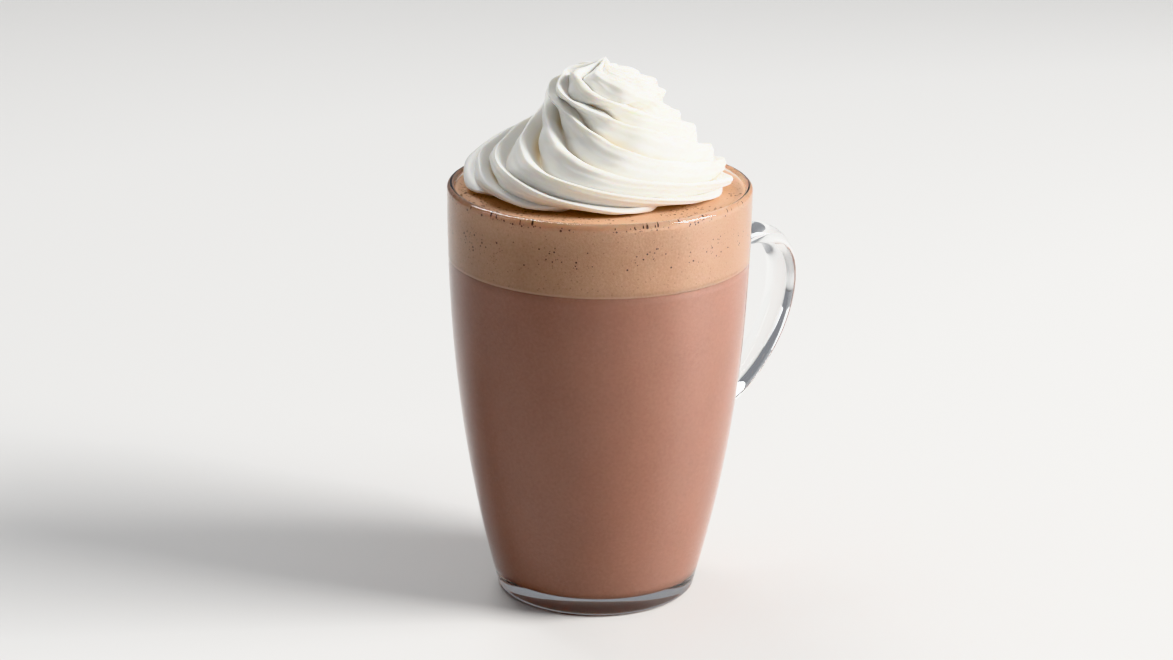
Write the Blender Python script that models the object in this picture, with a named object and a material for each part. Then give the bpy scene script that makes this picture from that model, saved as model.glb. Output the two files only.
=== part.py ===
"""Hot chocolate in a clear glass mug, topped with milk foam and a piped swirl of cream.

Metres, +Z up. The origin is the centre of the mug's flat underside, and the handle
points along +X. Everything is at rest in the mug, so nothing moves.
"""

import math

import bmesh
import bpy
import numpy as np

# Mug, one piece of pressed glass
RIM_RADIUS = 0.0450
RIM_HEIGHT = 0.1247
FOOT_RADIUS = 0.0296
BELLY_POWER = 2.25
WALL = 0.0024
FOOT_ROUND = 0.0020
FLOOR_HEIGHT = 0.0058
FLOOR_ROUND = 0.0036
TURN_STEPS = 56

# Ear-shaped strap handle, fused to the wall
HANDLE_TOP = 0.0943
HANDLE_BOTTOM = 0.0479
HANDLE_REACH = 0.0746
HANDLE_REACH_HEIGHT = 0.0840
HANDLE_TOP_ANGLE = 0.60
HANDLE_BOTTOM_ANGLE = -0.27
HANDLE_PULLS = (0.0168, 0.0171, 0.0190, 0.0146)
HANDLE_WIDTH = 0.0113
HANDLE_THICKNESS = 0.0066
HANDLE_FLARE = 0.22
HANDLE_FLARE_LENGTH = 0.16
HANDLE_RINGS = 15
HANDLE_SIDES = 14
HANDLE_ROOT = 0.0013

# What fills the mug
CLEARANCE = 0.0003
FOAM_LINE = 0.1037
FOAM_TOP = 0.1240
FOAM_RISE = 0.0006
FOAM_RISE_WIDTH = 0.0035

# Piped cream: its outline on the crests, from foot to peak, as (radius, height above the foam)
SWIRL_OUTLINE = (
    (0.0355, 0.0000),
    (0.0388, 0.0010),
    (0.0396, 0.0025),
    (0.0390, 0.0055),
    (0.0372, 0.0085),
    (0.0345, 0.0112),
    (0.0295, 0.0148),
    (0.0264, 0.0175),
    (0.0229, 0.0203),
    (0.0203, 0.0230),
    (0.0182, 0.0255),
    (0.0176, 0.0280),
    (0.0170, 0.0300),
    (0.0148, 0.0322),
    (0.0115, 0.0342),
    (0.0090, 0.0356),
    (0.0062, 0.0364),
    (0.0040, 0.0368),
    (0.0026, 0.0374),
    (0.0014, 0.0382),
)
SWIRL_PEAK = 0.0392
SWIRL_TURN = math.radians(-40)
SWIRL_OVAL = 0.875
ROUND_FROM = 0.0195

# How far the rings of cream sit off the mug's axis, as (height, x, y) before the turn
SWIRL_CENTRES = (
    (0.0000, -0.0004, 0.0030),
    (0.0060, -0.0011, 0.0028),
    (0.0120, -0.0008, 0.0026),
    (0.0150, 0.0008, 0.0025),
    (0.0180, 0.0022, 0.0024),
    (0.0210, 0.0026, 0.0023),
    (0.0240, 0.0014, 0.0021),
    (0.0300, 0.0011, 0.0019),
    (0.0340, 0.0004, 0.0017),
    (0.0363, -0.0018, 0.0014),
    (0.0377, 0.0002, 0.0015),
    (0.0392, 0.0012, 0.0015),
)

# Azimuth of each ridge's crest, in degrees, at the heights given
CREST_HEIGHTS = (0.000, 0.005, 0.010, 0.015, 0.020, 0.025, 0.030, 0.036)
CREST_PATHS = (
    (150, 120, 92, 58, 24, -6, -36, -68),
    (122, 92, 63, 30, 3, -43, -84, -140),
    (92, 55, 18, -15, -38, -83, -132, -195),
    (62, 30, -6, -62, -97, -121, -166, -235),
    (20, -13, -73, -105, -138, -160, -205, -272),
    (-10, -67, -104, -143, -180, -207, -250, -308),
    (-72, -110, -137, -180, -216, -250, -292, -343),
    (-110, -142, -163, -207, -248, -290, -331, -374),
    (-155, -174, -198, -243, -288, -330, -366, -400),
)

# Depth of the grooves by height, where the crests lie COMMON_GAP apart
RIDGE_DEPTHS = (
    (0.000, 0.0020),
    (0.006, 0.0034),
    (0.020, 0.0046),
    (0.028, 0.0042),
    (0.033, 0.0034),
    (0.036, 0.0020),
    (0.0389, 0.0002),
)
COMMON_GAP = math.radians(40)
GAP_POWER = 0.45
CREST_PLACE = 0.24
STEEP_POWER = 1.9
FACE_POWER = 1.45
RIDGE_PLACES = (0.00, 0.11, 0.24, 0.38, 0.52, 0.66, 0.80, 0.91)
SWIRL_ROWS = 34


def clear_scene():
    for old in list(bpy.data.objects):
        bpy.data.objects.remove(old, do_unlink=True)


def finish_material(name, colour, roughness, transmission=0.0, ior=1.45):
    """A plain material of one colour; transmission near 1 makes it clear."""
    material = bpy.data.materials.new(name)
    material.use_nodes = True
    shader = material.node_tree.nodes["Principled BSDF"]
    shader.inputs["Base Color"].default_value = (*colour, 1.0)
    shader.inputs["Roughness"].default_value = roughness
    shader.inputs["Transmission Weight"].default_value = transmission
    shader.inputs["IOR"].default_value = ior
    return material


def make_object(name, shape, material):
    """Turns a bmesh into a smooth-shaded object whose faces point outwards."""
    bmesh.ops.recalc_face_normals(shape, faces=shape.faces)
    mesh = bpy.data.meshes.new(name)
    shape.to_mesh(mesh)
    shape.free()
    mesh.shade_smooth()
    mesh.set_sharp_from_angle(angle=math.radians(40))
    mesh.materials.append(material)
    made = bpy.data.objects.new(name, mesh)
    bpy.context.scene.collection.objects.link(made)
    return made


def turned(outline):
    """Spins an outline of (radius, height) points, both ends on the axis, into a closed solid."""
    shape = bmesh.new()
    points = [shape.verts.new((radius, 0.0, height)) for radius, height in outline]
    edges = [shape.edges.new(pair) for pair in zip(points, points[1:])]
    bmesh.ops.spin(
        shape,
        geom=points + edges,
        cent=(0.0, 0.0, 0.0),
        axis=(0.0, 0.0, 1.0),
        angle=math.tau,
        steps=TURN_STEPS,
    )
    bmesh.ops.remove_doubles(shape, verts=shape.verts, dist=1e-6)
    return shape


def arc(centre, radius, start, end, steps):
    """Points of a round corner, from one angle to another, both included."""
    angles = [start + (end - start) * step / steps for step in range(steps + 1)]
    return [(centre[0] + radius * math.cos(a), centre[1] + radius * math.sin(a)) for a in angles]


def mug_radius(height):
    """Outer radius of the mug: full at the rim and drawn in ever faster towards the foot."""
    drop = max(0.0, 1.0 - height / RIM_HEIGHT)
    return RIM_RADIUS - (RIM_RADIUS - FOOT_RADIUS) * drop**BELLY_POWER


def inner_radius(height):
    return mug_radius(height) - WALL


def lined_outline(inset, base, top, wall_steps):
    """The inside of the mug as an outline from the axis up to the level given, inset from the glass."""
    corner = base + FLOOR_ROUND - inset
    flat = inner_radius(corner) - inset - FLOOR_ROUND
    outline = [(0.0, base)]
    outline += arc((flat, corner), FLOOR_ROUND - inset, -math.pi / 2, -0.20, 4)
    for step in range(1, wall_steps + 1):
        height = corner + (top - corner) * step / wall_steps
        outline.append((inner_radius(height) - inset, height))
    return outline


def mug_outline():
    """Underside, rounded foot, outer wall, fire-polished rim, inner wall, rounded floor."""
    foot_centre = mug_radius(FOOT_ROUND) - FOOT_ROUND
    outline = [(0.0, 0.0)]
    outline += arc((foot_centre, FOOT_ROUND), FOOT_ROUND, -math.pi / 2, -0.10, 3)
    wall_steps = 10
    for step in range(1, wall_steps):
        height = FOOT_ROUND + (RIM_HEIGHT - FOOT_ROUND) * step / wall_steps
        outline.append((mug_radius(height), height))
    outline += arc((RIM_RADIUS - WALL / 2, RIM_HEIGHT), WALL / 2, 0.0, math.pi, 5)
    inside = lined_outline(0.0, FLOOR_HEIGHT, RIM_HEIGHT, wall_steps)
    return outline + inside[-2::-1]


def bezier(corners, t):
    a, b, c, d = (np.array(corner) for corner in corners)
    return (1 - t) ** 3 * a + 3 * (1 - t) ** 2 * t * b + 3 * (1 - t) * t**2 * c + t**3 * d


def handle_path():
    """Centre line of the handle in the XZ plane: up and out of the wall, round, and back in lower down."""
    pulls = HANDLE_PULLS
    top = np.array((mug_radius(HANDLE_TOP) - HANDLE_ROOT, HANDLE_TOP))
    bend = np.array((HANDLE_REACH, HANDLE_REACH_HEIGHT))
    low = np.array((mug_radius(HANDLE_BOTTOM) - HANDLE_ROOT, HANDLE_BOTTOM))
    leave = np.array((math.cos(HANDLE_TOP_ANGLE), math.sin(HANDLE_TOP_ANGLE)))
    enter = np.array((math.cos(HANDLE_BOTTOM_ANGLE), math.sin(HANDLE_BOTTOM_ANGLE)))
    upper = (top, top + pulls[0] * leave, bend + (0.0, pulls[1]), bend)
    lower = (bend, bend - (0.0, pulls[2]), low + pulls[3] * enter, low)
    steps = [step / HANDLE_RINGS for step in range(HANDLE_RINGS + 1)]
    return [bezier(upper, t) for t in steps] + [bezier(lower, t) for t in steps[1:]]


def add_handle(material):
    """Sweeps a rounded strap section along the path; both end faces stand upright inside the wall."""
    path = handle_path()
    shape = bmesh.new()
    rings = []
    for index, point in enumerate(path):
        before = path[max(index - 1, 0)]
        after = path[min(index + 1, len(path) - 1)]
        along = (after - before) / np.linalg.norm(after - before)
        across = np.array((-along[1], along[0]))
        place = index / (len(path) - 1)
        near_end = max(0.0, 1.0 - min(place, 1.0 - place) / HANDLE_FLARE_LENGTH)
        flare = 1.0 + HANDLE_FLARE * near_end**2
        at_end = index in (0, len(path) - 1)
        ring = []
        for side in range(HANDLE_SIDES):
            angle = math.tau * side / HANDLE_SIDES
            thick = HANDLE_THICKNESS / 2 * flare * math.cos(angle)
            wide = HANDLE_WIDTH / 2 * flare * math.sin(angle)
            if at_end:
                x, z = point[0], point[1] + thick / across[1]
            else:
                x, z = point + across * thick
            ring.append(shape.verts.new((x, wide, z)))
        rings.append(ring)
    for ring, following in zip(rings, rings[1:]):
        for side in range(HANDLE_SIDES):
            nxt = (side + 1) % HANDLE_SIDES
            shape.faces.new((ring[side], ring[nxt], following[nxt], following[side]))
    shape.faces.new(rings[0])
    shape.faces.new(reversed(rings[-1]))
    return make_object("handle_form", shape, material)


def add_mug(material):
    """The turned glass with the handle fused on."""
    mug = make_object("mug", turned(mug_outline()), material)
    handle = add_handle(material)
    fuse = mug.modifiers.new("fuse_handle", "BOOLEAN")
    fuse.operation = "UNION"
    fuse.object = handle
    handle.hide_render = True
    handle.display_type = "WIRE"
    return mug


def add_drink(material):
    """Chocolate from the glass floor up to the line where the foam begins."""
    top = FOAM_LINE - CLEARANCE / 2
    outline = lined_outline(CLEARANCE, FLOOR_HEIGHT + CLEARANCE, top, 9)
    return make_object("drink", turned(outline + [(0.0, top)]), material)


def add_foam(material):
    """Milk foam from that line to just under the rim, with an edge that creeps up the glass."""
    low = FOAM_LINE + CLEARANCE / 2
    wall_steps = 3
    outline = [(0.0, low)]
    for step in range(wall_steps + 1):
        height = low + (FOAM_TOP + FOAM_RISE - low) * step / wall_steps
        outline.append((inner_radius(height) - CLEARANCE, height))
    edge = outline[-1][0]
    outline.append((edge - FOAM_RISE_WIDTH / 3, FOAM_TOP + FOAM_RISE / 4))
    outline.append((edge - FOAM_RISE_WIDTH, FOAM_TOP))
    outline.append((0.0, FOAM_TOP))
    return make_object("foam", turned(outline), material)


def smooth_through(points, count):
    """Even steps along a Catmull-Rom curve through the points."""
    points = np.array(points)
    padded = np.vstack((2 * points[0] - points[1], points, 2 * points[-1] - points[-2]))
    fine = []
    for a, b, c, d in zip(padded, padded[1:], padded[2:], padded[3:]):
        for t in np.linspace(0.0, 1.0, 24, endpoint=False):
            curve = 2 * b + (c - a) * t + (2 * a - 5 * b + 4 * c - d) * t**2
            fine.append((curve + (3 * b - a - 3 * c + d) * t**3) / 2)
    fine = np.array(fine + [points[-1]])
    reached = np.concatenate(([0.0], np.cumsum(np.linalg.norm(np.diff(fine, axis=0), axis=1))))
    wanted = np.linspace(0.0, reached[-1], count)
    return np.column_stack([np.interp(wanted, reached, fine[:, axis]) for axis in (0, 1)])


def crest_azimuths(height):
    """Azimuth of every crest at a height, each from a smooth curve through its path."""
    curves = [np.polyfit(CREST_HEIGHTS, path, 5) for path in CREST_PATHS]
    level = min(height, CREST_HEIGHTS[-1])
    return np.radians([np.polyval(curve, level) for curve in curves])


def ridge_profile(place):
    """How full a ridge stands: 0 in the groove above it, 1 on the crest, and 0 again in the groove below."""
    steep = 1.0 - max(0.0, (CREST_PLACE - place) / CREST_PLACE) ** STEEP_POWER
    face = 1.0 - max(0.0, (place - CREST_PLACE) / (1.0 - CREST_PLACE)) ** FACE_POWER
    return steep * face


def ring_of_ridges(height):
    """Azimuth, share of the crest and gap between crests, for each column round one ring."""
    crests = crest_azimuths(height)
    before = np.roll(crests, 1) + (math.tau, *[0.0] * (len(crests) - 1))
    after = np.roll(crests, -1) - (*[0.0] * (len(crests) - 1), math.tau)
    columns = []
    for crest, above, below in zip(crests, before, after):
        start = crest + CREST_PLACE * (above - crest)
        end = below + CREST_PLACE * (crest - below)
        for place in RIDGE_PLACES:
            gap = (above - crest) * (1 - place) + (crest - below) * place
            columns.append((start + (end - start) * place, ridge_profile(place), gap))
    return columns


def add_cream(material):
    """A round of cream whose ridges wind down from the peak as it was turned under the nozzle."""
    outline = smooth_through(SWIRL_OUTLINE, SWIRL_ROWS)
    along = np.gradient(outline, axis=0)
    outward = np.column_stack((along[:, 1], -along[:, 0]))
    outward /= np.linalg.norm(outward, axis=1)[:, None]
    depth_heights, depth_values = zip(*RIDGE_DEPTHS)
    centre_heights, centres_x, centres_y = zip(*SWIRL_CENTRES)
    base = FOAM_TOP + CLEARANCE
    shape = bmesh.new()
    rings = []
    for row, (radius, height) in enumerate(outline):
        oval = SWIRL_OVAL + (1 - SWIRL_OVAL) * min(1.0, height / ROUND_FROM)
        centre_x = np.interp(height, centre_heights, centres_x)
        centre_y = np.interp(height, centre_heights, centres_y)
        depth = np.interp(height, depth_heights, depth_values)
        ring = []
        for azimuth, share, gap in ring_of_ridges(height):
            sunk = depth * (gap / COMMON_GAP) ** GAP_POWER * (1.0 - share)
            reach = radius - sunk * outward[row, 0]
            lift = max(height - sunk * outward[row, 1], 0.0) if row else 0.0
            x = reach * math.cos(azimuth) + centre_x
            y = reach * math.sin(azimuth) * oval + centre_y
            ring.append(shape.verts.new((x, y, base + lift)))
        rings.append(ring)
    count = len(rings[0])
    for ring, following in zip(rings, rings[1:]):
        for side in range(count):
            nxt = (side + 1) % count
            shape.faces.new((ring[side], ring[nxt], following[nxt], following[side]))
    shape.faces.new(rings[0])
    peak = shape.verts.new((centres_x[-1], centres_y[-1], base + SWIRL_PEAK))
    for side in range(count):
        shape.faces.new((rings[-1][side], rings[-1][(side + 1) % count], peak))
    cream = make_object("cream", shape, material)
    cream.rotation_euler.z = SWIRL_TURN
    return cream


clear_scene()
add_mug(finish_material("clear_glass", (1.0, 1.0, 1.0), 0.0, transmission=1.0, ior=1.52))
add_drink(finish_material("hot_chocolate", (0.30, 0.13, 0.075), 0.35))
add_foam(finish_material("milk_foam", (0.54, 0.31, 0.18), 0.60))
add_cream(finish_material("whipped_cream", (0.88, 0.85, 0.77), 0.50))
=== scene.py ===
import math

import bmesh
import bpy
import numpy as np
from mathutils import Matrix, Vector


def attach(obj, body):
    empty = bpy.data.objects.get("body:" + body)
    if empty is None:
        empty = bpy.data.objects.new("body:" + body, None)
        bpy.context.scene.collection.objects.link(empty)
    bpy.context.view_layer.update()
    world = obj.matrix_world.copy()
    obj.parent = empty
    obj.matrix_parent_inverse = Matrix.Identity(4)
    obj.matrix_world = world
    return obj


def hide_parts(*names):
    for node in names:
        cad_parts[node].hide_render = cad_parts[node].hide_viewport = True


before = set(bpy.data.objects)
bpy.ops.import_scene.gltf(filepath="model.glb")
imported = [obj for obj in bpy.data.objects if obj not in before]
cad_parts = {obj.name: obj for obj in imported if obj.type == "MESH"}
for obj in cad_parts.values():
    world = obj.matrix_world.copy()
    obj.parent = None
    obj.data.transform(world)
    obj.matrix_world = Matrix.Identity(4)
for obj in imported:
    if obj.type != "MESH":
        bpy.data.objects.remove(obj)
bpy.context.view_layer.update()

# The mug's body: soda-lime glass pressed in a mould, clear and nearly colourless. The rim is
# fire-polished to a round bead, the wall thins a little above a heavy floor, and the underside
# is pushed up so that the mug stands on a ring.
RIM_RADIUS = 0.0450
RIM_HEIGHT = 0.1247
FOOT_RADIUS = 0.0296
BELLY_POWER = 2.25
WALL = 0.0024
FOOT_ROUND = 0.0020
FLOOR_HEIGHT = 0.0058
FLOOR_ROUND = 0.0036
PUNT_RADIUS = 0.0235
PUNT_DEPTH = 0.0008
GLASS_SIDES = 192
GLASS_IOR = 1.52


def tree_node(tree, kind, values=(), **settings):
    """Adds a node. Each value is a socket to link, or a constant for the input of that number or name."""
    node = tree.nodes.new(kind)
    for name, setting in settings.items():
        setattr(node, name, setting)
    for key, value in values.items() if isinstance(values, dict) else enumerate(values):
        if isinstance(value, bpy.types.NodeSocket):
            tree.links.new(value, node.inputs[key])
        elif value is not None:
            node.inputs[key].default_value = value
    return node


def math_node(tree, operation, *values):
    return tree_node(tree, "ShaderNodeMath", values, operation=operation).outputs[0]


def vector_node(tree, operation, *values, scale=None):
    node = tree_node(tree, "ShaderNodeVectorMath", values, operation=operation)
    if scale is not None:
        if isinstance(scale, bpy.types.NodeSocket):
            tree.links.new(scale, node.inputs["Scale"])
        else:
            node.inputs["Scale"].default_value = scale
    return node.outputs[1] if operation in ("DOT_PRODUCT", "LENGTH") else node.outputs[0]


def shape_tree(name, inputs):
    """An empty Geometry Nodes tree with one geometry socket each way and the named inputs given as (name, type)."""
    tree = bpy.data.node_groups.new(name, "GeometryNodeTree")
    tree.interface.new_socket("Geometry", in_out="INPUT", socket_type="NodeSocketGeometry")
    for socket_name, kind in inputs:
        tree.interface.new_socket(socket_name, in_out="INPUT", socket_type=kind)
    tree.interface.new_socket("Geometry", in_out="OUTPUT", socket_type="NodeSocketGeometry")
    return tree, tree.nodes.new("NodeGroupInput").outputs


def run_tree(name, source, tree, values):
    """Runs a tree on a mesh, and returns the result as a plain object."""
    holder = bpy.data.objects.new(name + "_source", source)
    bpy.context.scene.collection.objects.link(holder)
    modifier = holder.modifiers.new(name, "NODES")
    modifier.node_group = tree
    for item in tree.interface.items_tree:
        if item.in_out == "INPUT" and item.name in values:
            modifier[item.identifier] = values[item.name]
    graph = bpy.context.evaluated_depsgraph_get()
    mesh = bpy.data.meshes.new_from_object(holder.evaluated_get(graph), depsgraph=graph)
    bpy.data.objects.remove(holder)
    mesh.name = name
    made = bpy.data.objects.new(name, mesh)
    bpy.context.scene.collection.objects.link(made)
    return made


def face_outwards(piece, fill_holes=False):
    shape = bmesh.new()
    shape.from_mesh(piece.data)
    bmesh.ops.remove_doubles(shape, verts=shape.verts, dist=1e-7)
    if fill_holes:
        bmesh.ops.holes_fill(shape, edges=shape.edges, sides=0)
    bmesh.ops.recalc_face_normals(shape, faces=shape.faces)
    shape.to_mesh(piece.data)
    shape.free()
    piece.data.shade_smooth()


def points_mesh(name, points):
    mesh = bpy.data.meshes.new(name)
    mesh.from_pydata([tuple(point) for point in points], [], [])
    return mesh


def turning_tree():
    """Turns an outline of (radius, 0, height) points about Z: a grid whose columns are copies of the outline."""
    tree, given = shape_tree("turned_outline", [("Sides", "NodeSocketInt"), ("Finish", "NodeSocketMaterial")])
    count = tree_node(tree, "GeometryNodeAttributeDomainSize", [given["Geometry"]]).outputs["Point Count"]
    columns = math_node(tree, "ADD", given["Sides"], 1.0)
    grid = tree_node(
        tree,
        "GeometryNodeMeshGrid",
        {"Size X": 1.0, "Size Y": 1.0, "Vertices X": columns, "Vertices Y": count},
    ).outputs["Mesh"]
    index = tree_node(tree, "GeometryNodeInputIndex").outputs[0]
    row = math_node(tree, "MODULO", index, count)
    column = math_node(tree, "FLOOR", math_node(tree, "DIVIDE", index, count))
    outline = tree_node(
        tree,
        "GeometryNodeSampleIndex",
        {"Geometry": given["Geometry"], "Value": tree_node(tree, "GeometryNodeInputPosition").outputs[0], "Index": row},
        data_type="FLOAT_VECTOR",
    ).outputs[0]
    outline = tree_node(tree, "ShaderNodeSeparateXYZ", [outline]).outputs
    angle = math_node(tree, "MULTIPLY", math_node(tree, "DIVIDE", column, given["Sides"]), math.tau)
    place = tree_node(
        tree,
        "ShaderNodeCombineXYZ",
        [
            math_node(tree, "MULTIPLY", outline["X"], math_node(tree, "COSINE", angle)),
            math_node(tree, "MULTIPLY", outline["X"], math_node(tree, "SINE", angle)),
            outline["Z"],
        ],
    ).outputs[0]
    moved = tree_node(tree, "GeometryNodeSetPosition", {"Geometry": grid, "Position": place}).outputs[0]
    welded = tree_node(tree, "GeometryNodeMergeByDistance", {"Geometry": moved, "Distance": 2e-6}).outputs[0]
    smooth = tree_node(tree, "GeometryNodeSetShadeSmooth", {"Geometry": welded}).outputs[0]
    real = tree_node(tree, "GeometryNodeRealizeInstances", {"Geometry": smooth}).outputs[0]
    done = tree_node(tree, "GeometryNodeSetMaterial", {"Geometry": real, "Material": given["Finish"]}).outputs[0]
    tree_node(tree, "NodeGroupOutput", [done])
    return tree


def turned(name, outline, sides, finish):
    source = points_mesh(name + "_outline", [(radius, 0.0, height) for radius, height in outline])
    piece = run_tree(name, source, TURNING, {"Sides": sides, "Finish": finish})
    face_outwards(piece)
    return piece


def arc(centre, radius, start, end, steps):
    angles = [start + (end - start) * step / steps for step in range(steps + 1)]
    return [(centre[0] + radius * math.cos(a), centre[1] + radius * math.sin(a)) for a in angles]


def mug_radius(height):
    drop = max(0.0, 1.0 - height / RIM_HEIGHT)
    return RIM_RADIUS - (RIM_RADIUS - FOOT_RADIUS) * drop**BELLY_POWER


def inner_radius(height):
    return mug_radius(height) - WALL


def inner_outline(outset, base, top, steps):
    """The inside of the mug from the axis up to a level, set out into the glass by the distance given."""
    corner = base + FLOOR_ROUND + outset
    flat = inner_radius(corner) + outset - (FLOOR_ROUND + outset)
    outline = [(0.0, base)]
    outline += arc((flat, corner), FLOOR_ROUND + outset, -math.pi / 2, -0.20, 14)
    for step in range(1, steps + 1):
        height = corner + (top - corner) * step / steps
        outline.append((inner_radius(height) + outset, height))
    return outline


def mug_outline():
    outline = []
    for step in range(9):
        radius = PUNT_RADIUS * step / 8
        outline.append((radius, PUNT_DEPTH * (0.5 + 0.5 * math.cos(math.pi * step / 8))))
    foot_centre = mug_radius(FOOT_ROUND) - FOOT_ROUND
    outline += arc((foot_centre, FOOT_ROUND), FOOT_ROUND, -math.pi / 2, -0.10, 10)
    for step in range(1, 56):
        height = FOOT_ROUND + (RIM_HEIGHT - FOOT_ROUND) * step / 56
        outline.append((mug_radius(height), height))
    outline += arc((RIM_RADIUS - WALL / 2, RIM_HEIGHT), WALL / 2, 0.0, math.pi, 16)
    return outline + inner_outline(0.0, FLOOR_HEIGHT, RIM_HEIGHT, 56)[-2::-1]


def clear_glass():
    """Polished clear glass with the faint waves that a mould leaves."""
    material = bpy.data.materials.new("clear_glass")
    material.use_nodes = True
    tree = material.node_tree
    shader = tree.nodes["Principled BSDF"]
    shader.inputs["Base Color"].default_value = (0.985, 0.992, 0.990, 1.0)
    shader.inputs["Roughness"].default_value = 0.0
    shader.inputs["IOR"].default_value = GLASS_IOR
    shader.inputs["Transmission Weight"].default_value = 1.0
    place = tree_node(tree, "ShaderNodeTexCoord").outputs["Object"]
    waves = tree_node(tree, "ShaderNodeTexNoise", {"Vector": place, "Scale": 55.0, "Detail": 1.0}).outputs["Fac"]
    bump = tree_node(tree, "ShaderNodeBump", {"Strength": 0.06, "Distance": 0.0010, "Height": waves})
    tree.links.new(bump.outputs["Normal"], shader.inputs["Normal"])
    return material


TURNING = turning_tree()
GLASS = clear_glass()
mug_body = turned("mug_body", mug_outline(), GLASS_SIDES, GLASS)

# The handle: an ear-shaped strap of the same glass, drawn out hot and pressed onto the wall at both
# ends, where it spreads a little. It is fused to the body, so the mug is one piece.
HANDLE_TOP = 0.0943
HANDLE_BOTTOM = 0.0479
HANDLE_REACH = 0.0746
HANDLE_REACH_HEIGHT = 0.0840
HANDLE_TOP_ANGLE = 0.60
HANDLE_BOTTOM_ANGLE = -0.27
HANDLE_PULLS = (0.0168, 0.0171, 0.0190, 0.0146)
HANDLE_WIDTH = 0.0113
HANDLE_THICKNESS = 0.0066
HANDLE_FLARE = 0.22
HANDLE_FLARE_LENGTH = 0.16
HANDLE_ROOT = 0.0013
HANDLE_RINGS = 60
HANDLE_SIDES = 40


def bezier(corners, t):
    a, b, c, d = (np.array(corner) for corner in corners)
    return (1 - t) ** 3 * a + 3 * (1 - t) ** 2 * t * b + 3 * (1 - t) * t**2 * c + t**3 * d


def handle_path():
    pulls = HANDLE_PULLS
    top = np.array((mug_radius(HANDLE_TOP) - HANDLE_ROOT, HANDLE_TOP))
    bend = np.array((HANDLE_REACH, HANDLE_REACH_HEIGHT))
    low = np.array((mug_radius(HANDLE_BOTTOM) - HANDLE_ROOT, HANDLE_BOTTOM))
    leave = np.array((math.cos(HANDLE_TOP_ANGLE), math.sin(HANDLE_TOP_ANGLE)))
    enter = np.array((math.cos(HANDLE_BOTTOM_ANGLE), math.sin(HANDLE_BOTTOM_ANGLE)))
    upper = (top, top + pulls[0] * leave, bend + (0.0, pulls[1]), bend)
    lower = (bend, bend - (0.0, pulls[2]), low + pulls[3] * enter, low)
    steps = [step / HANDLE_RINGS for step in range(HANDLE_RINGS + 1)]
    return [bezier(upper, t) for t in steps] + [bezier(lower, t) for t in steps[1:]]


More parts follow.
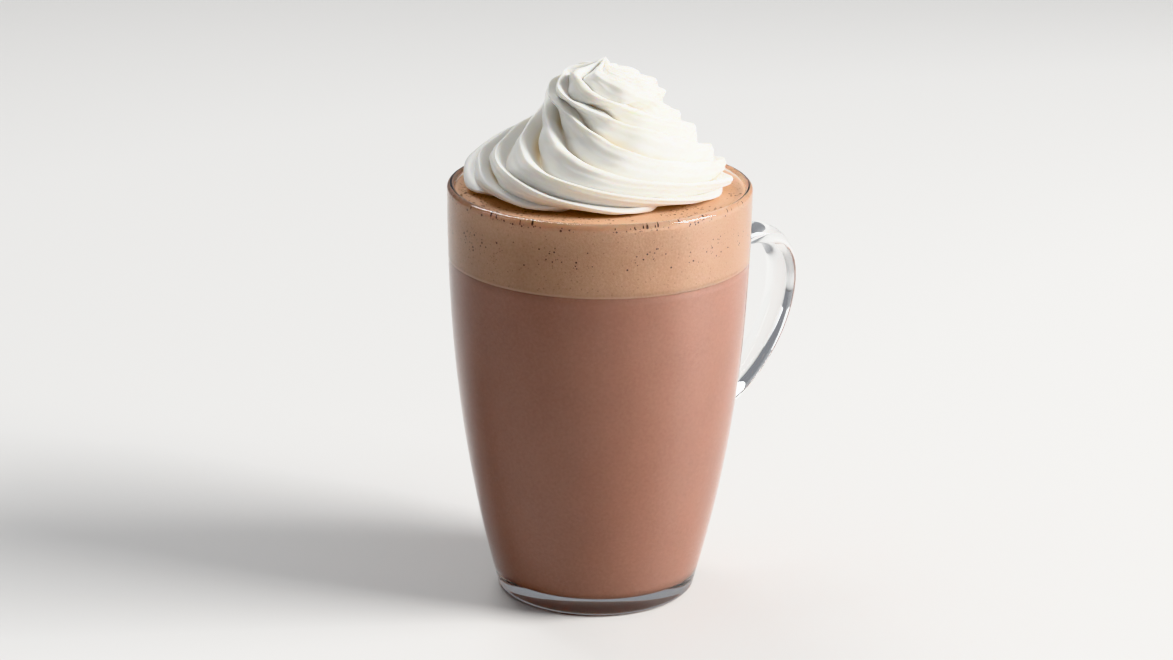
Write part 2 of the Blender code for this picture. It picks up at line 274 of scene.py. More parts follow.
def strap_tree():
    """Sweeps an oval along a path in the XZ plane: it widens at both ends, which are cut upright."""
    tree, given = shape_tree(
        "strap_along_path",
        [
            ("Sides", "NodeSocketInt"),
            ("Width", "NodeSocketFloat"),
            ("Thickness", "NodeSocketFloat"),
            ("Flare", "NodeSocketFloat"),
            ("Flare Length", "NodeSocketFloat"),
            ("Finish", "NodeSocketMaterial"),
        ],
    )
    count = tree_node(tree, "GeometryNodeAttributeDomainSize", [given["Geometry"]]).outputs["Point Count"]
    columns = math_node(tree, "ADD", given["Sides"], 1.0)
    grid = tree_node(
        tree,
        "GeometryNodeMeshGrid",
        {"Size X": 1.0, "Size Y": 1.0, "Vertices X": columns, "Vertices Y": count},
    ).outputs["Mesh"]
    index = tree_node(tree, "GeometryNodeInputIndex").outputs[0]
    position = tree_node(tree, "GeometryNodeInputPosition").outputs[0]
    row = math_node(tree, "MODULO", index, count)
    column = math_node(tree, "FLOOR", math_node(tree, "DIVIDE", index, count))

    def path_point(step):
        which = math_node(tree, "ADD", row, step)
        node = tree_node(
            tree,
            "GeometryNodeSampleIndex",
            {"Geometry": given["Geometry"], "Value": position, "Index": which},
            data_type="FLOAT_VECTOR",
            clamp=True,
        )
        return node.outputs[0]

    along = vector_node(tree, "NORMALIZE", vector_node(tree, "SUBTRACT", path_point(1.0), path_point(-1.0)))
    across = vector_node(tree, "CROSS_PRODUCT", along, (0.0, 1.0, 0.0))
    last = math_node(tree, "SUBTRACT", count, 1.0)
    share = math_node(tree, "DIVIDE", row, last)
    from_end = math_node(tree, "MINIMUM", share, math_node(tree, "SUBTRACT", 1.0, share))
    near = math_node(tree, "MAXIMUM", math_node(tree, "SUBTRACT", 1.0, math_node(tree, "DIVIDE", from_end, given["Flare Length"])), 0.0)
    near = math_node(tree, "POWER", near, 2.0)
    flare = math_node(tree, "ADD", math_node(tree, "MULTIPLY", near, given["Flare"]), 1.0)
    angle = math_node(tree, "MULTIPLY", math_node(tree, "DIVIDE", column, given["Sides"]), math.tau)
    half_thick = math_node(tree, "MULTIPLY", math_node(tree, "MULTIPLY", given["Thickness"], 0.5), flare)
    half_wide = math_node(tree, "MULTIPLY", math_node(tree, "MULTIPLY", given["Width"], 0.5), flare)
    thick = math_node(tree, "MULTIPLY", half_thick, math_node(tree, "COSINE", angle))
    wide = math_node(tree, "MULTIPLY", half_wide, math_node(tree, "SINE", angle))
    across_x = tree_node(tree, "ShaderNodeSeparateXYZ", [across]).outputs["X"]
    along_x = tree_node(tree, "ShaderNodeSeparateXYZ", [along]).outputs["X"]
    slip = math_node(tree, "DIVIDE", math_node(tree, "MULTIPLY", across_x, thick), along_x)
    at_end = math_node(tree, "POWER", near, 4.0)
    slip = math_node(tree, "MULTIPLY", slip, math_node(tree, "MULTIPLY", at_end, -1.0))
    place = vector_node(tree, "ADD", path_point(0.0), vector_node(tree, "SCALE", across, scale=thick))
    place = vector_node(tree, "ADD", place, vector_node(tree, "SCALE", (0.0, 1.0, 0.0), scale=wide))
    place = vector_node(tree, "ADD", place, vector_node(tree, "SCALE", along, scale=slip))
    moved = tree_node(tree, "GeometryNodeSetPosition", {"Geometry": grid, "Position": place}).outputs[0]
    welded = tree_node(tree, "GeometryNodeMergeByDistance", {"Geometry": moved, "Distance": 2e-6}).outputs[0]
    real = tree_node(tree, "GeometryNodeRealizeInstances", {"Geometry": welded}).outputs[0]
    done = tree_node(tree, "GeometryNodeSetMaterial", {"Geometry": real, "Material": given["Finish"]}).outputs[0]
    tree_node(tree, "NodeGroupOutput", [done])
    return tree


def fused(name, body, added):
    """One mesh from two that overlap."""
    join = body.modifiers.new("fuse", "BOOLEAN")
    join.operation = "UNION"
    join.object = added
    graph = bpy.context.evaluated_depsgraph_get()
    mesh = bpy.data.meshes.new_from_object(body.evaluated_get(graph), depsgraph=graph)
    mesh.name = name
    bpy.data.objects.remove(body)
    bpy.data.objects.remove(added)
    made = bpy.data.objects.new(name, mesh)
    bpy.context.scene.collection.objects.link(made)
    made.data.shade_smooth()
    return made


handle = run_tree(
    "mug_handle",
    points_mesh("handle_path", [(x, 0.0, z) for x, z in handle_path()]),
    strap_tree(),
    {
        "Sides": HANDLE_SIDES,
        "Width": HANDLE_WIDTH,
        "Thickness": HANDLE_THICKNESS,
        "Flare": HANDLE_FLARE,
        "Flare Length": HANDLE_FLARE_LENGTH,
        "Finish": GLASS,
    },
)
face_outwards(handle, fill_holes=True)
glass_mug = fused("glass_mug", mug_body, handle)
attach(glass_mug, "root")
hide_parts("mug")

# The hot chocolate: milk with melted chocolate, opaque and evenly brown. It fills the glass from the
# floor to the foam and wets the wall, so it reaches a hair into the glass and leaves no gap.
WETTING = 0.00015
FOAM_LINE = 0.1037
DRINK_COLOUR = (0.470, 0.215, 0.138, 1.0)
DRINK_DARK = (0.410, 0.178, 0.112, 1.0)


def speckle_group():
    """Soft mottling plus fine grains: a mask that goes from 0 to 1 over the surface."""
    group = bpy.data.node_groups.new("milk_speckle", "ShaderNodeTree")
    for name, value in (("Patch Scale", 60.0), ("Grain Scale", 900.0), ("Grain Share", 0.5)):
        socket = group.interface.new_socket(name, in_out="INPUT", socket_type="NodeSocketFloat")
        socket.default_value = value
    group.interface.new_socket("Mask", in_out="OUTPUT", socket_type="NodeSocketFloat")
    given = group.nodes.new("NodeGroupInput").outputs
    place = tree_node(group, "ShaderNodeTexCoord").outputs["Object"]
    patch = tree_node(group, "ShaderNodeTexNoise", {"Vector": place, "Scale": given["Patch Scale"], "Detail": 3.0})
    grain = tree_node(group, "ShaderNodeTexNoise", {"Vector": place, "Scale": given["Grain Scale"], "Detail": 2.0})
    mixed = tree_node(
        group,
        "ShaderNodeMix",
        {"Factor": given["Grain Share"], "A": patch.outputs["Fac"], "B": grain.outputs["Fac"]},
        data_type="FLOAT",
    )
    wide = tree_node(group, "ShaderNodeMapRange", {"Value": mixed.outputs[0], "From Min": 0.35, "From Max": 0.65})
    tree_node(group, "NodeGroupOutput", [wide.outputs[0]])
    return group


SPECKLE = speckle_group()


def chocolate_milk():
    material = bpy.data.materials.new("hot_chocolate")
    material.use_nodes = True
    tree = material.node_tree
    shader = tree.nodes["Principled BSDF"]
    mask = tree_node(tree, "ShaderNodeGroup", {}, node_tree=SPECKLE)
    mask.inputs["Patch Scale"].default_value = 45.0
    mask.inputs["Grain Scale"].default_value = 1100.0
    mask.inputs["Grain Share"].default_value = 0.55
    colour = tree_node(
        tree,
        "ShaderNodeMix",
        {"Factor": mask.outputs["Mask"]},
        data_type="RGBA",
    )
    colour.inputs[6].default_value = DRINK_DARK
    colour.inputs[7].default_value = DRINK_COLOUR
    tree.links.new(colour.outputs[2], shader.inputs["Base Color"])
    shader.inputs["Roughness"].default_value = 0.55
    shader.inputs["IOR"].default_value = 1.55
    shader.inputs["Subsurface Weight"].default_value = 0.15
    shader.inputs["Subsurface Radius"].default_value = (0.0030, 0.0012, 0.0006)
    shader.inputs["Subsurface Scale"].default_value = 1.0
    return material


drink = turned(
    "drink_fill",
    inner_outline(WETTING, FLOOR_HEIGHT - WETTING, FOAM_LINE, 40) + [(0.0, FOAM_LINE)],
    GLASS_SIDES,
    chocolate_milk(),
)
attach(drink, "root")
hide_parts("drink")

# The milk foam: steamed milk that floated up, tinted tan by the chocolate. Its top is a little
# uneven and creeps up the glass at the edge, and a paler line shows where it meets the drink.
FOAM_TOP = 0.1240
FOAM_RISE = 0.0006
FOAM_RISE_WIDTH = 0.0035
FOAM_COLOUR = (0.640, 0.385, 0.240, 1.0)
FOAM_SHADE = (0.560, 0.320, 0.190, 1.0)
FOAM_LINE_COLOUR = (0.760, 0.480, 0.320, 1.0)
# The darker brown of the pores is painted shade inside them.
PORE_PAINTED_SHADE = (0.300, 0.140, 0.080, 1.0)


def foam_outline():
    outline = [(0.0, FOAM_LINE)]
    for step in range(13):
        height = FOAM_LINE + (FOAM_TOP + FOAM_RISE - FOAM_LINE) * step / 12
        outline.append((inner_radius(height) + WETTING, height))
    edge = inner_radius(FOAM_TOP)
    for step in range(1, 9):
        inward = step / 8
        outline.append((edge - FOAM_RISE_WIDTH * inward, FOAM_TOP + FOAM_RISE * (1 - inward) ** 2))
    for step in range(1, 40):
        outline.append(((edge - FOAM_RISE_WIDTH) * (1 - step / 40), FOAM_TOP))
    return outline + [(0.0, FOAM_TOP)]


def milk_foam():
    """Fine foam: mottled tan with open pores painted darker as painted shade, a paler line at its foot and paler froth
    where it wets the rim.
    """
    material = bpy.data.materials.new("milk_foam")
    material.use_nodes = True
    tree = material.node_tree
    shader = tree.nodes["Principled BSDF"]
    place = tree_node(tree, "ShaderNodeTexCoord").outputs["Object"]
    mask = tree_node(tree, "ShaderNodeGroup", {}, node_tree=SPECKLE)
    mask.inputs["Patch Scale"].default_value = 90.0
    mask.inputs["Grain Scale"].default_value = 1500.0
    mask.inputs["Grain Share"].default_value = 0.60
    tan = tree_node(tree, "ShaderNodeMix", {"Factor": mask.outputs["Mask"]}, data_type="RGBA")
    tan.inputs[6].default_value = FOAM_SHADE
    tan.inputs[7].default_value = FOAM_COLOUR
    # Scattered cells become pores: the bump sinks them, and they are painted darker, which is painted shade inside
    # them.
    cells = tree_node(tree, "ShaderNodeTexVoronoi", {"Vector": place, "Scale": 950.0})
    near = tree_node(
        tree,
        "ShaderNodeMapRange",
        {"Value": cells.outputs["Distance"], "From Min": 0.12, "From Max": 0.26, "To Min": 1.0, "To Max": 0.0},
    )
    chosen = math_node(tree, "GREATER_THAN", tree_node(tree, "ShaderNodeSeparateColor", [cells.outputs["Color"]]).outputs[0], 0.62)
    pore = math_node(tree, "MULTIPLY", math_node(tree, "MULTIPLY", near.outputs[0], chosen), 0.55)
    porous = tree_node(tree, "ShaderNodeMix", {"Factor": pore}, data_type="RGBA")
    tree.links.new(tan.outputs[2], porous.inputs[6])
    porous.inputs[7].default_value = PORE_PAINTED_SHADE
    height = tree_node(tree, "ShaderNodeSeparateXYZ", [place]).outputs["Z"]
    line = tree_node(
        tree,
        "ShaderNodeMapRange",
        {"Value": height, "From Min": FOAM_LINE + 0.0003, "From Max": FOAM_LINE + 0.0009, "To Min": 1.0, "To Max": 0.0},
    )
    froth_line = tree_node(
        tree,
        "ShaderNodeMapRange",
        {"Value": height, "From Min": FOAM_TOP + 0.0001, "From Max": FOAM_TOP + 0.0005},
    )
    pale = math_node(tree, "MAXIMUM", line.outputs[0], froth_line.outputs[0])
    colour = tree_node(tree, "ShaderNodeMix", {"Factor": pale}, data_type="RGBA")
    tree.links.new(porous.outputs[2], colour.inputs[6])
    colour.inputs[7].default_value = FOAM_LINE_COLOUR
    tree.links.new(colour.outputs[2], shader.inputs["Base Color"])
    froth = tree_node(tree, "ShaderNodeTexVoronoi", {"Vector": place, "Scale": 1300.0}).outputs["Distance"]
    relief = math_node(tree, "SUBTRACT", froth, pore)
    bump = tree_node(tree, "ShaderNodeBump", {"Strength": 0.40, "Distance": 0.0002, "Height": relief})
    tree.links.new(bump.outputs["Normal"], shader.inputs["Normal"])
    shader.inputs["Roughness"].default_value = 0.62
    shader.inputs["Subsurface Weight"].default_value = 0.25
    shader.inputs["Subsurface Radius"].default_value = (0.0030, 0.0014, 0.0007)
    shader.inputs["Subsurface Scale"].default_value = 1.0
    return material


foam = turned("foam_layer", foam_outline(), GLASS_SIDES, milk_foam())
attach(foam, "root")
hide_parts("foam")

# The pinholes: burst bubbles in the foam, each a tiny open cup with a raised lip. They lie on its
# top, in a belt against the glass halfway up the foam, and in the wet edge under the rim.
PINHOLE_SIDES = 8
PINHOLE_RINGS = ((1.00, -0.15, 0.0), (0.86, 0.22, 0.0), (0.70, 0.12, 0.9), (0.00, 0.05, 1.0))
# The near-black painted into each pinhole's hollow is painted shade inside the cup, darker than the drink itself.
PINHOLE_PAINTED_SHADE = (0.070, 0.026, 0.014, 1.0)
STRIP_SIDES = 96
TOP_BAND = foam_outline()[15:22] + [(0.0300, FOAM_TOP)]
BELT_BAND = [(inner_radius(height) + WETTING, height) for height in (0.1118, 0.1150, 0.1185)]
EDGE_BAND = [(inner_radius(height) + WETTING, height) for height in (0.1232, 0.1245)]


def pinhole_cup():
    """One cup of radius 1 on the XY plane, with how far inside it each point lies."""
    points = []
    hollows = []
    for radius, height, hollow in PINHOLE_RINGS[:-1]:
        for side in range(PINHOLE_SIDES):
            angle = math.tau * side / PINHOLE_SIDES
            points.append((radius * math.cos(angle), radius * math.sin(angle), height))
            hollows.append(hollow)
    points.append((0.0, 0.0, PINHOLE_RINGS[-1][1]))
    hollows.append(PINHOLE_RINGS[-1][2])
    faces = []
    for side in range(PINHOLE_SIDES):
        nxt = (side + 1) % PINHOLE_SIDES
        for ring in range(len(PINHOLE_RINGS) - 2):
            low, high = ring * PINHOLE_SIDES, (ring + 1) * PINHOLE_SIDES
            faces.append((low + side, low + nxt, high + nxt, high + side))
        faces.append((high + side, high + nxt, len(points) - 1))
    mesh = bpy.data.meshes.new("pinhole_cup")
    mesh.from_pydata(points, [], faces)
    depth = mesh.attributes.new("hollow", "FLOAT", "POINT")
    depth.data.foreach_set("value", hollows)
    cup = bpy.data.objects.new("pinhole_cup", mesh)
    bpy.context.scene.collection.objects.link(cup)
    return cup


def strip_mesh(name, outline):
    """A band round the axis between the (radius, height) points, facing left of their direction."""
    points = []
    for radius, height in outline:
        for side in range(STRIP_SIDES):
            angle = math.tau * side / STRIP_SIDES
            points.append((radius * math.cos(angle), radius * math.sin(angle), height))
    faces = []
    for low in range(0, len(points) - STRIP_SIDES, STRIP_SIDES):
        high = low + STRIP_SIDES
        for side in range(STRIP_SIDES):
            nxt = (side + 1) % STRIP_SIDES
            faces.append((low + side, low + nxt, high + nxt, high + side))
    mesh = bpy.data.meshes.new(name)
    mesh.from_pydata(points, [], faces)
    return mesh


def scatter_tree():
    """Scatters copies of one shape over a band in loose clusters, few of them large."""
    tree, given = shape_tree(
        "scattered_pinholes",
        [
            ("Shape", "NodeSocketObject"),
            ("Per Area", "NodeSocketFloat"),
            ("Smallest", "NodeSocketFloat"),
            ("Largest", "NodeSocketFloat"),
            ("Seed", "NodeSocketInt"),
            ("Finish", "NodeSocketMaterial"),
        ],
    )
    position = tree_node(tree, "GeometryNodeInputPosition").outputs[0]
    cloud = tree_node(tree, "ShaderNodeTexNoise", {"Vector": position, "Scale": 110.0, "Detail": 1.0}).outputs["Fac"]
    cluster = tree_node(tree, "ShaderNodeMapRange", {"Value": cloud, "From Min": 0.36, "From Max": 0.62}).outputs[0]
    spread = tree_node(
        tree,
        "GeometryNodeDistributePointsOnFaces",
        {"Mesh": given["Geometry"], "Density": given["Per Area"], "Seed": given["Seed"]},
    )
    dice = tree_node(
        tree,
        "FunctionNodeRandomValue",
        {2: 0.0, 3: 1.0, "ID": tree_node(tree, "GeometryNodeInputIndex").outputs[0], "Seed": 3},
        data_type="FLOAT",
    ).outputs[1]
    dropped = math_node(tree, "GREATER_THAN", dice, cluster)
    kept = tree_node(
        tree,
        "GeometryNodeDeleteGeometry",
        {"Geometry": spread.outputs["Points"], "Selection": dropped},
        domain="POINT",
    ).outputs[0]
    pick = tree_node(
        tree,
        "FunctionNodeRandomValue",
        {2: 0.0, 3: 1.0, "ID": tree_node(tree, "GeometryNodeInputIndex").outputs[0], "Seed": 8},
        data_type="FLOAT",
    ).outputs[1]
    share = math_node(tree, "POWER", pick, 2.5)
    extra = math_node(tree, "MULTIPLY", share, math_node(tree, "SUBTRACT", given["Largest"], given["Smallest"]))
    size = math_node(tree, "ADD", given["Smallest"], extra)
    shape = tree_node(tree, "GeometryNodeObjectInfo", {"Object": given["Shape"]}).outputs["Geometry"]
    placed = tree_node(
        tree,
        "GeometryNodeInstanceOnPoints",
        {"Points": kept, "Instance": shape, "Rotation": spread.outputs["Rotation"], "Scale": size},
    ).outputs[0]
    real = tree_node(tree, "GeometryNodeRealizeInstances", {"Geometry": placed}).outputs[0]
    smooth = tree_node(tree, "GeometryNodeSetShadeSmooth", {"Geometry": real}).outputs[0]
    done = tree_node(tree, "GeometryNodeSetMaterial", {"Geometry": smooth, "Material": given["Finish"]}).outputs[0]
    tree_node(tree, "NodeGroupOutput", [done])
    return tree


def pinhole_foam():
    material = bpy.data.materials.new("foam_pinhole")
    material.use_nodes = True
    tree = material.node_tree
    shader = tree.nodes["Principled BSDF"]
    hollow = tree_node(tree, "ShaderNodeAttribute", attribute_name="hollow").outputs["Fac"]
    # Each cup is painted from foam colour at its lip to near black in its hollow: painted shade inside the pinhole.
    colour = tree_node(tree, "ShaderNodeMix", {"Factor": hollow}, data_type="RGBA")
    colour.inputs[6].default_value = FOAM_COLOUR
    colour.inputs[7].default_value = PINHOLE_PAINTED_SHADE
    tree.links.new(colour.outputs[2], shader.inputs["Base Color"])
    shader.inputs["Roughness"].default_value = 0.60
    return material


SCATTERING = scatter_tree()
PINHOLE_FINISH = pinhole_foam()
cup = pinhole_cup()
for name, outline, per_area, largest, seed in (
    ("pinholes_on_top", TOP_BAND, 420000.0, 0.00060, 4),
    ("pinholes_in_belt", BELT_BAND, 380000.0, 0.00042, 11),
    ("pinholes_at_edge", EDGE_BAND, 1100000.0, 0.00046, 23),
):
    pinholes = run_tree(
        name,
        strip_mesh(name + "_band", outline),
        SCATTERING,
        {
            "Shape": cup,
            "Per Area": per_area,
            "Smallest": 0.00017,
            "Largest": largest,
            "Seed": seed,
            "Finish": PINHOLE_FINISH,
        },
    )
    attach(pinholes, "root")
bpy.data.objects.remove(cup)

# The cream: whipped cream piped in one turn of a star nozzle onto the foam. Nine soft ridges wind down
# from the tip, each with a short steep side above and a broad face below, and run out on the foam.
SWIRL_OUTLINE = (
    (0.0355, 0.0000),
    (0.0388, 0.0010),
    (0.0396, 0.0025),
    (0.0390, 0.0055),
    (0.0372, 0.0085),
    (0.0345, 0.0112),
    (0.0295, 0.0148),
    (0.0264, 0.0175),
    (0.0229, 0.0203),
    (0.0203, 0.0230),
    (0.0182, 0.0255),
    (0.0176, 0.0280),
    (0.0170, 0.0300),
    (0.0148, 0.0322),
    (0.0115, 0.0342),
    (0.0090, 0.0356),
    (0.0062, 0.0364),
    (0.0040, 0.0368),
    (0.0026, 0.0374),
    (0.0014, 0.0382),
)
SWIRL_CENTRES = (
    (0.0000, -0.0004, 0.0030),
    (0.0060, -0.0011, 0.0028),
    (0.0120, -0.0008, 0.0026),
    (0.0150, 0.0008, 0.0025),
    (0.0180, 0.0022, 0.0024),
    (0.0210, 0.0026, 0.0023),
    (0.0240, 0.0014, 0.0021),
    (0.0300, 0.0011, 0.0019),
    (0.0340, 0.0004, 0.0017),
    (0.0363, -0.0018, 0.0014),
    (0.0377, 0.0002, 0.0015),
    (0.0392, 0.0012, 0.0015),
)
SWIRL_BASE = FOAM_TOP + 0.0002
SWIRL_PEAK = 0.0392
SWIRL_TURN = math.radians(-40)
SWIRL_OVAL = 0.875
ROUND_FROM = 0.0195
CREST_HEIGHTS = (0.000, 0.005, 0.010, 0.015, 0.020, 0.025, 0.030, 0.036)
CREST_PATHS = (
    (150, 120, 92, 58, 24, -6, -36, -68),
    (122, 92, 63, 30, 3, -43, -84, -140),
    (92, 55, 18, -15, -38, -83, -132, -195),
    (62, 30, -6, -62, -97, -121, -166, -235),
    (20, -13, -73, -105, -138, -160, -205, -272),
    (-10, -67, -104, -143, -180, -207, -250, -308),
    (-72, -110, -137, -180, -216, -250, -292, -343),
    (-110, -142, -163, -207, -248, -290, -331, -374),
    (-155, -174, -198, -243, -288, -330, -366, -400),
)
RIDGE_DEPTHS = (
    (0.000, 0.0020),
    (0.006, 0.0034),
    (0.020, 0.0046),
    (0.028, 0.0042),
    (0.033, 0.0034),
    (0.036, 0.0020),
    (0.0389, 0.0002),
)
COMMON_GAP = math.radians(40)
GAP_POWER = 0.45
CREST_PLACE = 0.24
STEEP_POWER = 1.9
FACE_POWER = 1.45
RIDGE_COLUMNS = 44
SWIRL_ROWS = 210
DIMPLE_WIDTH = 0.17
DIMPLES = (
    (4, 0.0250, 0.0022, 0.0030),
    (5, 0.0178, 0.0030, 0.0032),
    (7, 0.0095, 0.0026, 0.0028),
    (3, 0.0125, 0.0012, 0.0018),
    (5, 0.0010, 0.0022, 0.0036),
    (4, 0.0045, 0.0018, 0.0022),
    (6, 0.0005, 0.0015, 0.0016),
    (0, 0.0315, 0.0038, -0.0022),
    (8, 0.0325, 0.0030, -0.0016),
)
STREAK_DEPTH = 0.00010
WOBBLE_DEPTH = 0.00022


def smooth_through(points, count):
    points = np.array(points)
    padded = np.vstack((2 * points[0] - points[1], points, 2 * points[-1] - points[-2]))
    fine = []
    for a, b, c, d in zip(padded, padded[1:], padded[2:], padded[3:]):
        for t in np.linspace(0.0, 1.0, 24, endpoint=False):
            curve = 2 * b + (c - a) * t + (2 * a - 5 * b + 4 * c - d) * t**2
            fine.append((curve + (3 * b - a - 3 * c + d) * t**3) / 2)
    fine = np.array(fine + [points[-1]])
    reached = np.concatenate(([0.0], np.cumsum(np.linalg.norm(np.diff(fine, axis=0), axis=1))))
    wanted = np.linspace(0.0, reached[-1], count)
    return np.column_stack([np.interp(wanted, reached, fine[:, axis]) for axis in (0, 1)])


def crest_table():
    """Azimuth of every crest at even heights from foot to peak: the paths with their corners eased."""
    heights = np.linspace(0.0, SWIRL_PEAK, 160)
    window = np.hanning(23)
    window /= window.sum()
    eased = []
    for path in CREST_PATHS:
        run = np.interp(heights, CREST_HEIGHTS, path)
        run += (heights > CREST_HEIGHTS[-1]) * (heights - CREST_HEIGHTS[-1]) * (path[-1] - path[-2]) / 0.006
        before = run[0] - (run[1] - run[0]) * np.arange(11, 0, -1)
        after = run[-1] + (run[-1] - run[-2]) * np.arange(1, 12)
        eased.append(np.radians(np.convolve(np.concatenate((before, run, after)), window, "valid")))
    return heights, np.array(eased)


def ring_of_ridges(crests):
    """Azimuth, place across the ridge from groove to groove, and gap to the next crest, round one ring."""
    before = np.roll(crests, 1) + (math.tau, *[0.0] * (len(crests) - 1))
    after = np.roll(crests, -1) - (*[0.0] * (len(crests) - 1), math.tau)
    starts = crests + CREST_PLACE * (before - crests)
    ends = after + CREST_PLACE * (crests - after)
    places = np.arange(RIDGE_COLUMNS) / RIDGE_COLUMNS
    azimuths = starts[:, None] + (ends - starts)[:, None] * places
    gaps = (before - crests)[:, None] * (1 - places) + (crests - after)[:, None] * places
    return azimuths, np.broadcast_to(places, azimuths.shape), gaps


def ridge_profile(places):
    """How full a ridge stands: 0 in the groove above it, 1 on the crest, and 0 again in the groove below."""
    steep = 1.0 - np.clip((CREST_PLACE - places) / CREST_PLACE, 0.0, 1.0) ** STEEP_POWER
    face = 1.0 - np.clip((places - CREST_PLACE) / (1.0 - CREST_PLACE), 0.0, 1.0) ** FACE_POWER
    return steep * face


def swirl_points():
    """Rows of points from the foot to the peak, and how deep in a groove each lies."""
    outline = smooth_through(SWIRL_OUTLINE, SWIRL_ROWS)
    along = np.gradient(outline, axis=0)
    outward = np.column_stack((along[:, 1], -along[:, 0]))
    outward /= np.linalg.norm(outward, axis=1)[:, None]
    depth_heights, depth_values = zip(*RIDGE_DEPTHS)
    centre_heights, centres_x, centres_y = zip(*SWIRL_CENTRES)
    table_heights, table = crest_table()
    rows, grooves = [], []
    for row, (radius, height) in enumerate(outline):
        oval = SWIRL_OVAL + (1 - SWIRL_OVAL) * min(1.0, height / ROUND_FROM)
        crests = np.array([np.interp(height, table_heights, path) for path in table])
        azimuths, places, gaps = ring_of_ridges(crests)
        depth = np.interp(height, depth_heights, depth_values) * (gaps / COMMON_GAP) ** GAP_POWER
        for ridge, dimple_height, span, dimple_depth in DIMPLES:
            closeness = dimple_depth * math.exp(-(((height - dimple_height) / span) ** 2))
            depth[ridge] += closeness * np.exp(-((places[ridge] / DIMPLE_WIDTH) ** 2))
            depth[ridge - 1] += closeness * np.exp(-(((1 - places[ridge - 1]) / DIMPLE_WIDTH) ** 2))
        sunk = depth * (1.0 - ridge_profile(places))
        body = min(1.0, radius / 0.012)
        ridge_numbers = np.arange(len(crests))[:, None]
        streaks = np.sin(math.tau * 4.0 * places + 2.1 * ridge_numbers) * np.sin(math.pi * places)
        wobble = np.sin(5.0 * azimuths + 310.0 * height + ridge_numbers) + np.sin(9.0 * azimuths - 520.0 * height)
        sunk = sunk + body * (STREAK_DEPTH * streaks + WOBBLE_DEPTH * wobble * np.sin(math.pi * places))
        reach = radius - sunk * outward[row, 0]
        lift = np.maximum(height - sunk * outward[row, 1], 0.0)
        x = reach * np.cos(azimuths) + np.interp(height, centre_heights, centres_x)
        y = reach * np.sin(azimuths) * oval + np.interp(height, centre_heights, centres_y)
        rows.append(np.column_stack((x.ravel(), y.ravel(), SWIRL_BASE + lift.ravel())))
        grooves.append((sunk / 0.0055).ravel())
    return np.array(rows), np.array(grooves)


def closed_grid(name, rows, peak):
    """A closed mesh from rings of points: quads between them, a flat foot and a fan up to the peak."""
    count = rows.shape[1]
    points = np.vstack((rows.reshape(-1, 3), [peak, rows[0].mean(axis=0)]))
    faces = []
    for row in range(len(rows) - 1):
        for side in range(count):
            nxt = (side + 1) % count
            faces.append((row * count + side, row * count + nxt, (row + 1) * count + nxt, (row + 1) * count + side))
    top = (len(rows) - 1) * count
    for side in range(count):
        nxt = (side + 1) % count
        faces.append((top + side, top + nxt, len(points) - 2))
        faces.append((nxt, side, len(points) - 1))
    mesh = bpy.data.meshes.new(name)
    mesh.from_pydata(points.tolist(), [], faces)
    return mesh


def whipped_cream():
    material = bpy.data.materials.new("whipped_cream")
    material.use_nodes = True
    tree = material.node_tree
    shader = tree.nodes["Principled BSDF"]
    place = tree_node(tree, "ShaderNodeTexCoord").outputs["Object"]
    # Deep in the grooves the cream is painted warmer and darker: painted shade in the creases, not a colour of the
    # cream.
    groove = tree_node(tree, "ShaderNodeAttribute", attribute_name="groove").outputs["Fac"]
    deep = tree_node(tree, "ShaderNodeMapRange", {"Value": groove, "From Min": 0.55, "From Max": 1.0})
    colour = tree_node(tree, "ShaderNodeMix", {"Factor": deep.outputs[0]}, data_type="RGBA")
    colour.inputs[6].default_value = (0.790, 0.780, 0.735, 1.0)
    colour.inputs[7].default_value = (0.800, 0.700, 0.520, 1.0)
    tree.links.new(colour.outputs[2], shader.inputs["Base Color"])
    air = tree_node(tree, "ShaderNodeTexNoise", {"Vector": place, "Scale": 900.0, "Detail": 3.0}).outputs["Fac"]
    bump = tree_node(tree, "ShaderNodeBump", {"Strength": 0.20, "Distance": 0.0002, "Height": air})
    tree.links.new(bump.outputs["Normal"], shader.inputs["Normal"])
    shader.inputs["Roughness"].default_value = 0.48
    shader.inputs["Subsurface Weight"].default_value = 0.45
    shader.inputs["Subsurface Radius"].default_value = (0.0035, 0.0028, 0.0018)
    shader.inputs["Subsurface Scale"].default_value = 1.0
    return material


def pipe_cream():
    rows, grooves = swirl_points()
    peak = np.array((*SWIRL_CENTRES[-1][1:], SWIRL_BASE + SWIRL_PEAK))
    turn = np.array(
        (
            (math.cos(SWIRL_TURN), -math.sin(SWIRL_TURN), 0.0),
            (math.sin(SWIRL_TURN), math.cos(SWIRL_TURN), 0.0),
            (0.0, 0.0, 1.0),
        )
    )
    mesh = closed_grid("cream_swirl", rows @ turn.T, turn @ peak)
    # How deep in a groove each point lies; the cream's material turns this into painted shade.
    depth = mesh.attributes.new("groove", "FLOAT", "POINT")
    depth.data.foreach_set("value", np.append(grooves.ravel(), (0.0, 0.0)).astype(np.float32))
    mesh.materials.append(whipped_cream())
    swirl = bpy.data.objects.new("cream_swirl", mesh)
    bpy.context.scene.collection.objects.link(swirl)
    face_outwards(swirl)
    return swirl


cream = pipe_cream()
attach(cream, "root")
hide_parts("cream")

# The pale studio floor, and soft light from large panels: the main one to the right and a little
# behind the camera, a weak one to the left, and an even pale surround.
FLOOR_SIDE = 6.0
FLOOR_COLOUR = (0.62, 0.61, 0.59, 1.0)
SURROUND = (0.90, 0.93, 1.00, 1.0)
SURROUND_STRENGTH = 0.30
VIEW_AZIMUTH = math.radians(-40)


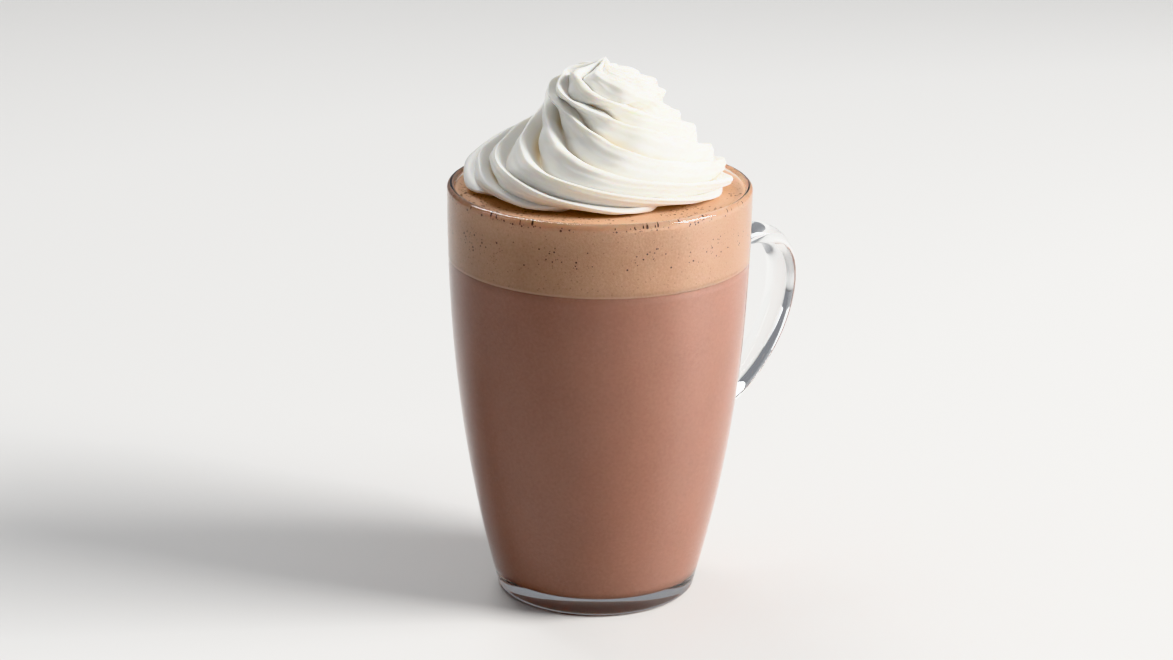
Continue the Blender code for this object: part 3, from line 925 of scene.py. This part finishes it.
def studio_floor():
    mesh = bpy.data.meshes.new("studio_floor")
    half = FLOOR_SIDE / 2
    corners = [(-half, -half, 0.0), (half, -half, 0.0), (half, half, 0.0), (-half, half, 0.0)]
    mesh.from_pydata(corners, [], [(0, 1, 2, 3)])
    material = bpy.data.materials.new("pale_floor")
    material.use_nodes = True
    shader = material.node_tree.nodes["Principled BSDF"]
    shader.inputs["Base Color"].default_value = FLOOR_COLOUR
    shader.inputs["Roughness"].default_value = 0.55
    mesh.materials.append(material)
    floor = bpy.data.objects.new("studio_floor", mesh)
    bpy.context.scene.collection.objects.link(floor)
    return floor


def light_panel(name, azimuth, elevation, distance, side, watts, tint=(1.0, 1.0, 1.0)):
    """A square soft light aimed at the mug. Azimuth counts from the camera, to the right as seen from it."""
    lamp = bpy.data.lights.new(name, "AREA")
    lamp.shape = "SQUARE"
    lamp.size = side
    lamp.energy = watts
    lamp.color = tint
    holder = bpy.data.objects.new(name, lamp)
    bpy.context.scene.collection.objects.link(holder)
    turn = VIEW_AZIMUTH + math.radians(azimuth)
    tilt = math.radians(elevation)
    away = Vector((math.sin(turn) * math.cos(tilt), -math.cos(turn) * math.cos(tilt), math.sin(tilt)))
    holder.location = Vector((0.0, 0.0, 0.09)) + away * distance
    holder.rotation_euler = away.to_track_quat("Z", "Y").to_euler()
    return holder


def pale_surround():
    world = bpy.data.worlds.new("pale_surround")
    bpy.context.scene.world = world
    world.use_nodes = True
    sky = world.node_tree.nodes["Background"]
    sky.inputs["Color"].default_value = SURROUND
    sky.inputs["Strength"].default_value = SURROUND_STRENGTH


studio_floor()
light_panel("main_panel", 80, 27, 1.3, 0.7, 43.0)
light_panel("left_panel", -85, 25, 1.5, 0.7, 2.5)
light_panel("back_panel", -150, 50, 1.3, 0.6, 9.0)
pale_surround()
bpy.context.scene.view_settings.view_transform = "Khronos PBR Neutral"

# The camera: a long lens looking slightly down on the mug, as in the photograph, with the handle
# behind and to the right. Its roll is the photograph's small tilt.
CAMERA_DISTANCE = 0.926
CAMERA_AIM_HEIGHT = 0.0802
CAMERA_PITCH = math.radians(18.28)
CAMERA_YAW = math.radians(-0.216)
CAMERA_ROLL = math.radians(0.67)
PHOTO_WIDTH = 1173
FOCAL_PIXELS = 3100.0


def place_camera():
    lens = bpy.data.cameras.new("photo_camera")
    lens.sensor_width = 36.0
    lens.lens = FOCAL_PIXELS / PHOTO_WIDTH * lens.sensor_width
    holder = bpy.data.objects.new("photo_camera", lens)
    bpy.context.scene.collection.objects.link(holder)
    to_camera = Vector((math.sin(VIEW_AZIMUTH), -math.cos(VIEW_AZIMUTH), 0.0))
    level = Vector((math.cos(VIEW_AZIMUTH), math.sin(VIEW_AZIMUTH), 0.0))
    holder.location = to_camera * CAMERA_DISTANCE * math.cos(CAMERA_PITCH)
    holder.location.z = CAMERA_AIM_HEIGHT + CAMERA_DISTANCE * math.sin(CAMERA_PITCH)
    ahead = -to_camera * math.cos(CAMERA_PITCH) - Vector((0.0, 0.0, math.sin(CAMERA_PITCH)))
    above = level.cross(ahead)
    looking = ahead * math.cos(CAMERA_YAW) + level * math.sin(CAMERA_YAW)
    beside = level * math.cos(CAMERA_YAW) - ahead * math.sin(CAMERA_YAW)
    right = beside * math.cos(CAMERA_ROLL) + above * math.sin(CAMERA_ROLL)
    up = above * math.cos(CAMERA_ROLL) - beside * math.sin(CAMERA_ROLL)
    turned_to = holder.matrix_world.to_3x3()
    turned_to.col[0], turned_to.col[1], turned_to.col[2] = right, up, -looking
    holder.rotation_euler = turned_to.to_euler()
    bpy.context.scene.camera = holder


place_camera()
